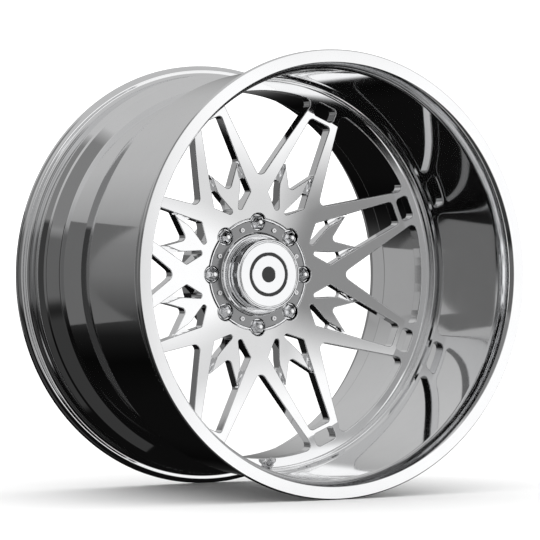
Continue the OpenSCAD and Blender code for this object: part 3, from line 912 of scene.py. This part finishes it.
def prism(build, points, corner, step, turn=9.0):
    """A hexagonal bar with rounded corners, whose (apothem, height) follows an open line."""
    p, arrive, leave = trace(points, False, step=step, turn=turn)
    half, per = math.pi / 6, 5
    vert = np.repeat((2 * np.arange(6) + 1) * half, per)
    theta = vert + half * np.tile(np.linspace(-1, 1, per), 6)
    size = np.maximum(p[:, :1] - corner, 0) / math.cos(half)
    round_r = np.minimum(corner, p[:, :1])
    c, s = np.cos(theta), np.sin(theta)
    level = lambda x, y, v: np.stack([x, y, np.broadcast_to(v[:, 1:], x.shape)], -1)
    corners = level(size * np.cos(vert) + round_r * c, size * np.sin(vert) + round_r * s, p)
    grid(build, corners, *(level(v[:, :1] * c, v[:, :1] * s, v) for v in (leave, arrive)))


def make_nut():
    """A cone-seat nut about its own axis, with its shoulder at the wheel's own height."""
    b = Build()
    shoulder, flats, hex_t, tip_t, tip = POCKET_T + 0.6, 11.1, -37.0, -25.5, 4.0
    skirt_t, cone_t = shoulder + 41, shoulder - SEAT_CONE_H
    prism(b, [(flats, skirt_t - 1), (flats, hex_t, 1.2), (tip, tip_t, 3.4), (0, tip_t)], 1.2, 60, 12)
    turned_part = [
        (0, -43.0), (7.0, -44.0), (7.0, cone_t), (7.2, cone_t, 0.3), (10.7, shoulder, 0.2),
        (13.0, shoulder, 0.3), (13.0, skirt_t - 0.4, 0.3), (12.6, skirt_t, 0.3), (10.6, skirt_t),
    ]
    spun(b, turned_part, 48, 60)
    return b


def make_screw():
    """A button-head screw about its own axis, with a hexagonal socket."""
    b, t, shank, end_t, socket = Build(), LAND_T, 2.4, -54.0, 1.5
    head = [
        (shank, t), (4.1, t, 0.1), (4.1, t + 1.9, 0.4), (3.7, t + 2.45, 0.3), (socket + 0.25, t + 2.5, 0.1),
        (socket + 0.25, t + 2.45),
    ]
    spun(b, head, 40, 20)
    spun(b, [(0, end_t), (shank, end_t), (shank, t)], 24)
    prism(b, [(socket, t + 2.46), (socket, t + 0.8), (0, t + 0.8)], 0.05, 10)
    prism(b, [(socket + 0.25, t + 2.46), (socket, t + 2.46)], 0.05, 10)
    return b


# ---------------------------------------------------------------- valve
def make_washer():
    b = Build()
    spun(b, [(4.15, 0), (8.2, 0, 0.3), (8.2, 1.2, 0.3), (4.15, 1.2)], 96, 10, 7, True)
    return Build().join(b, VALVE)


def make_hex():
    b = Build()
    line = [(4.2, 1.2), (6.6, 1.2, 0.2), (7.0, 1.6, 0.3), (7.0, 6.7, 0.6), (6.4, 7.2, 0.3), (4.2, 7.2)]
    prism(b, line, 0.5, 20)
    spun(b, [(4.15, 7.2), (4.15, 1.2)], 48, 20)
    return Build().join(b, VALVE)


def make_stem():
    b, bore, body, crest, pitch = Build(), 2.6, 4.1, 3.85, 0.8
    line = [(bore, -21.0), (7.0, -21.0, 0.4), (8.0, -20.0, 0.4), (8.0, -17.4, 0.3), (body, -17.4, 0.3)]
    line += [(body, 8.4, 0.2), (crest, 8.8)]
    for k in range(13):
        z = 9.2 + pitch * k
        line += [(crest, z), (crest - 0.3, z + 0.3), (crest, z + 0.6)]
    line[-1] = (crest, 19.4, 0.2)
    line += [(crest - 0.6, 20.0, 0.2), (bore, 20.0)]
    spun(b, line, 64, 40, 15, True)
    return Build().join(b, VALVE)


def make_valve_cap():
    """A dust cap with a knurled skirt of fine vertical ribs."""
    b, ribs, per, radius, depth = Build(), 36, 4, 5.3, 0.32
    m = ribs * per
    spun(b, [(4.2, 8.9), (4.9, 8.9, 0.2), (radius, 9.3, 0.2), (radius, 9.9)], m, 5)
    spun(b, [(radius, 18.9), (radius, 20.2, 0.4), (4.4, 22.0, 0.8), (2.9, 22.8, 1.0), (0, 22.8)], m, 3)
    spun(b, [(0, 21.4), (4.2, 21.4, 0.3), (4.2, 8.9)], 48, 5)
    a = np.arange(m) * 2 * math.pi / m
    c, s = np.cos(a), np.sin(a)
    z, fade = np.array([[9.9], [10.5], [18.3], [18.9]]), np.array([[0], [1], [1], [0]])
    r = radius - depth * (0.5 - 0.5 * np.cos(a * ribs)) * fade
    slope = depth * 0.5 * ribs * np.sin(a * ribs) / (radius - 0.1)
    smooth, ribbed = np.stack([c, s, 0 * a], 1), np.stack([c + slope * s, s - slope * c, 0 * a], 1)
    normals = np.array([smooth, ribbed, ribbed, smooth])
    grid(b, np.stack([r * c, r * s, np.broadcast_to(z, r.shape)], -1), normals, normals)
    return Build().join(b, VALVE)


# ---------------------------------------------------------------- finishes
def finish(name, colour, rough, smear, grain, grain_scale=900.0, metal=1.0, tint=0.04):
    """A finish with cloudy roughness, a slight change of tone and a fine grain."""
    m = bpy.data.materials.new(name)
    m.use_nodes = True
    t = m.node_tree
    s = t.nodes["Principled BSDF"]
    s.inputs["Metallic"].default_value = metal
    at = t.nodes.new("ShaderNodeTexCoord")

    def noise(scale, detail):
        node = t.nodes.new("ShaderNodeTexNoise")
        node.inputs["Scale"].default_value = scale
        node.inputs["Detail"].default_value = detail
        t.links.new(at.outputs["Object"], node.inputs["Vector"])
        return node

    cloud = noise(14.0, 5.0)
    cloud.inputs["Roughness"].default_value = 0.62
    ramp = t.nodes.new("ShaderNodeMapRange")
    for socket, value in (("From Min", 0.35), ("From Max", 0.7), ("To Min", rough), ("To Max", rough + smear)):
        ramp.inputs[socket].default_value = value
    t.links.new(cloud.outputs["Fac"], ramp.inputs["Value"])
    t.links.new(ramp.outputs["Result"], s.inputs["Roughness"])
    tone = t.nodes.new("ShaderNodeValToRGB")
    for stop, at_value, shade in zip(tone.color_ramp.elements, (0.3, 0.72), (1 - tint, 1)):
        stop.position, stop.color = at_value, (*[c * shade for c in colour], 1)
    t.links.new(cloud.outputs["Fac"], tone.inputs["Fac"])
    t.links.new(tone.outputs["Color"], s.inputs["Base Color"])
    bump = t.nodes.new("ShaderNodeBump")
    bump.inputs["Strength"].default_value = grain
    bump.inputs["Distance"].default_value = 0.0002
    t.links.new(noise(grain_scale, 3.0).outputs["Fac"], bump.inputs["Height"])
    t.links.new(bump.outputs["Normal"], s.inputs["Normal"])
    return m


ALLOY, CHROME, STEEL = (0.905, 0.908, 0.915), (0.86, 0.865, 0.875), (0.86, 0.86, 0.87)
rim_metal = finish("polished_rim", ALLOY, 0.035, 0.03, 0.012)
centre_metal = finish("polished_centre", ALLOY, 0.04, 0.03, 0.012)
chrome = finish("cap_chrome", CHROME, 0.03, 0.02, 0.008)
satin = finish("cap_satin", (0.27, 0.272, 0.277), 0.13, 0.06, 0.04, 1600.0, tint=0.12)
nut_chrome = finish("nut_chrome", CHROME, 0.09, 0.04, 0.01)
enamel = finish("ring_enamel", (0.012, 0.012, 0.013), 0.12, 0.08, 0.02, metal=0.0, tint=0.3)
stainless = finish("stainless", STEEL, 0.2, 0.1, 0.06)
valve_metal = finish("valve_metal", (0.8, 0.8, 0.81), 0.07, 0.05, 0.03)
brass = finish("brass", (0.78, 0.6, 0.28), 0.2, 0.12, 0.06)
rubber = finish("rubber", (0.018, 0.018, 0.019), 0.6, 0.2, 0.4, metal=0.0, tint=0.3)


# ---------------------------------------------------------------- pieces
def place(build, name, body, node, slot, *materials):
    ob = build.mesh(name, list(materials))
    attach(ob, body)
    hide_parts(node)
    return ob


place(make_barrel(), "rim_barrel", "root", "barrel", "polished_rim", rim_metal)
place(make_centre(), "forged_centre", "root", "spoke_center", "polished_centre", centre_metal)
place(make_cap_base(), "hub_cap_base", "hub_cap", "cap_base", "cap_chrome", chrome, satin)
place(make_can(), "hub_cap_can", "hub_cap", "cap_can", "cap_chrome", chrome)
place(make_cap_face(), "hub_cap_face", "hub_cap", "cap_face", "cap_face_finish", chrome, enamel)
screws, one = Build(), make_screw()
for k in range(SECTORS):
    screws.join(one, sector_matrix(k + 0.5, SCREW_R))
place(screws, "hub_cap_screws", "hub_cap", "cap_screws", "stainless", stainless)
one = make_nut()
for k in range(SECTORS):
    nut = Build().join(one, sector_matrix(k, LUG_R))
    place(nut, "wheel_nut_%d" % (k + 1), "nut_%d" % (k + 1), "lug_nut_%d" % (k + 1), "nut_chrome", nut_chrome)
place(make_stem(), "valve_stem_threaded", "root", "valve_stem", "valve_metal", valve_metal)
place(make_washer(), "valve_seat_washer", "root", "valve_washer", "valve_metal", valve_metal)
place(make_hex(), "valve_nut", "root", "valve_hex_nut", "valve_metal", valve_metal)
place(make_valve_cap(), "knurled_dust_cap", "valve_dust_cap", "valve_cap", "valve_metal", valve_metal)
for look, nodes in ((rubber, ("cap_oring", "cap_gasket", "valve_grommet", "valve_cap_seal")),
                    (brass, ("valve_core", "valve_core_pin"))):
    for node in nodes:
        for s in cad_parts[node].material_slots:
            s.material = look


# ---------------------------------------------------------------- stage
def plain(name, value):
    m = bpy.data.materials.new(name)
    m.use_nodes = True
    s = m.node_tree.nodes["Principled BSDF"]
    s.inputs["Base Color"].default_value = (value, value, value, 1)
    s.inputs["Roughness"].default_value = 0.9
    s.inputs["Specular IOR Level"].default_value = 0.0
    return m


def staged(name, points, faces, material):
    me = bpy.data.meshes.new(name)
    me.from_pydata(points, [], faces)
    me.materials.append(material)
    ob = bpy.data.objects.new(name, me)
    bpy.context.scene.collection.objects.link(ob)
    return ob


# Panels hung in the tent: azimuth and elevation from and to, softness, brightness on screen.
PANELS = (
    (-125, -60, 17, 64, 8.0, 0.48),
    (-125, -60, -99, -17, 5.0, 0.22),
    (-146, -45, -11, 17, 4.0, 0.37),
    (-110, -90, -28, 22, 2.0, 0.23),
    (-30, 0, -26, 30, 3.0, 0.62),
    (0, 118, -21, 23, 3.0, 1.0),
    (25, 52, 6.5, 11.5, 3.0, 0.85),
    (25, 52, -12, -6.5, 3.0, 0.85),
    (6, 24.5, -11, 8, 6.0, 0.54),
)


# The tent's own walls: elevation and brightness.
WALLS = (
    (-28, 0.08), (-22, 0.06), (-16, 0.12), (-9, 0.31), (0, 0.43), (8, 0.48), (16, 0.61), (25, 0.69), (35, 0.73),
)


def tent_light(azimuth, elevation):
    """Brightness of the tent, as it looks on screen: a black table, walls that brighten upwards,
    grey panels to the left and behind, and a white one to the right of the camera."""
    light = np.interp(elevation, *zip(*WALLS))
    for az0, az1, el0, el1, soft, value in PANELS:
        edge = [(azimuth - az0), (az1 - azimuth), (elevation - el0), (el1 - elevation)]
        cover = np.min([np.clip(x / soft + 0.5, 0, 1) for x in edge], axis=0)
        light = light + (value - light) * cover
    return light


def lit(name):
    """A material that only gives off light."""
    m = bpy.data.materials.new(name)
    m.use_nodes = True
    glow = m.node_tree.nodes.new("ShaderNodeEmission")
    m.node_tree.links.new(glow.outputs["Emission"], m.node_tree.nodes["Material Output"].inputs["Surface"])
    return m, glow


def reflections_only(ob):
    ob.visible_camera = ob.visible_diffuse = ob.visible_shadow = ob.visible_transmission = False


def make_tent(radius=14.0, step=1.0):
    """A dome that only reflections see."""
    el = np.arange(-90, 90 + step / 2, step)
    az = np.arange(-180, 180, step)
    e, a = (x.ravel() for x in np.meshgrid(el, az, indexing="ij"))
    er, ar = np.radians(e), np.radians(a)
    pts = radius * np.stack([np.cos(er) * np.sin(ar), -np.cos(er) * np.cos(ar), np.sin(er)], 1)
    m = len(az)
    faces = [(i * m + k, i * m + (k + 1) % m, (i + 1) * m + (k + 1) % m, (i + 1) * m + k)
             for i in range(len(el) - 1) for k in range(m)]
    m, glow = lit("tent_light")
    read = m.node_tree.nodes.new("ShaderNodeAttribute")
    read.attribute_name = "light"
    m.node_tree.links.new(read.outputs["Color"], glow.inputs["Color"])
    tent = staged("tent", pts.tolist(), faces, m)
    light = tent_light(a, e) ** 2.2 / 0.9
    colour = np.column_stack([light, light, light, np.ones(len(light))])
    data = tent.data.color_attributes.new("light", "FLOAT_COLOR", "POINT").data
    data.foreach_set("color", colour.astype(np.float32).ravel())
    reflections_only(tent)


floor_z, far = -RIM_R * 0.001, 60
corners = [(x * far, y * far, floor_z) for x, y in ((-1, -1), (1, -1), (1, 1), (-1, 1))]
staged("floor", corners, [(0, 1, 2, 3)], plain("floor", 0.86)).visible_glossy = False
make_tent()
# Two near cards behind the wheel: the lip mirrors the grey one, the inner barrel the pale one.
for name, y, x0, x1, z0, z1, value in (("grey_card", 1.5, -1.08, -0.58, -0.45, 0.47, 0.14),
                                       ("pale_card", 1.48, -0.65, -0.38, -0.2, 0.32, 0.36)):
    card, glow = lit(name)
    glow.inputs["Color"].default_value = (value, value, value, 1)
    corners = [(x0, y, z0), (x1, y, z0), (x1, y, z1), (x0, y, z1)]
    reflections_only(staged(name, corners, [(0, 1, 2, 3)], card))

world = bpy.data.worlds.new("studio")
bpy.context.scene.world = world
world.use_nodes = True
world.node_tree.nodes["Background"].inputs["Color"].default_value = (1, 1, 1, 1)
world.node_tree.nodes["Background"].inputs["Strength"].default_value = 1.45

view_az, view_far = math.radians(-30.13), 4.717
cam = bpy.data.cameras.new("camera")
cam.lens, cam.sensor_width, cam.shift_x, cam.shift_y = 194.4, 36.0, 0.002, 0.0083
cam.clip_end = 200
cam_ob = bpy.data.objects.new("camera", cam)
bpy.context.scene.collection.objects.link(cam_ob)
cam_ob.location = (math.sin(view_az) * view_far, -math.cos(view_az) * view_far, 0)
cam_ob.rotation_euler = (-cam_ob.location).to_track_quat("-Z", "Y").to_euler()
bpy.context.scene.camera = cam_ob
bpy.context.scene.view_settings.view_transform = "Standard"

bpy.context.view_layer.update()
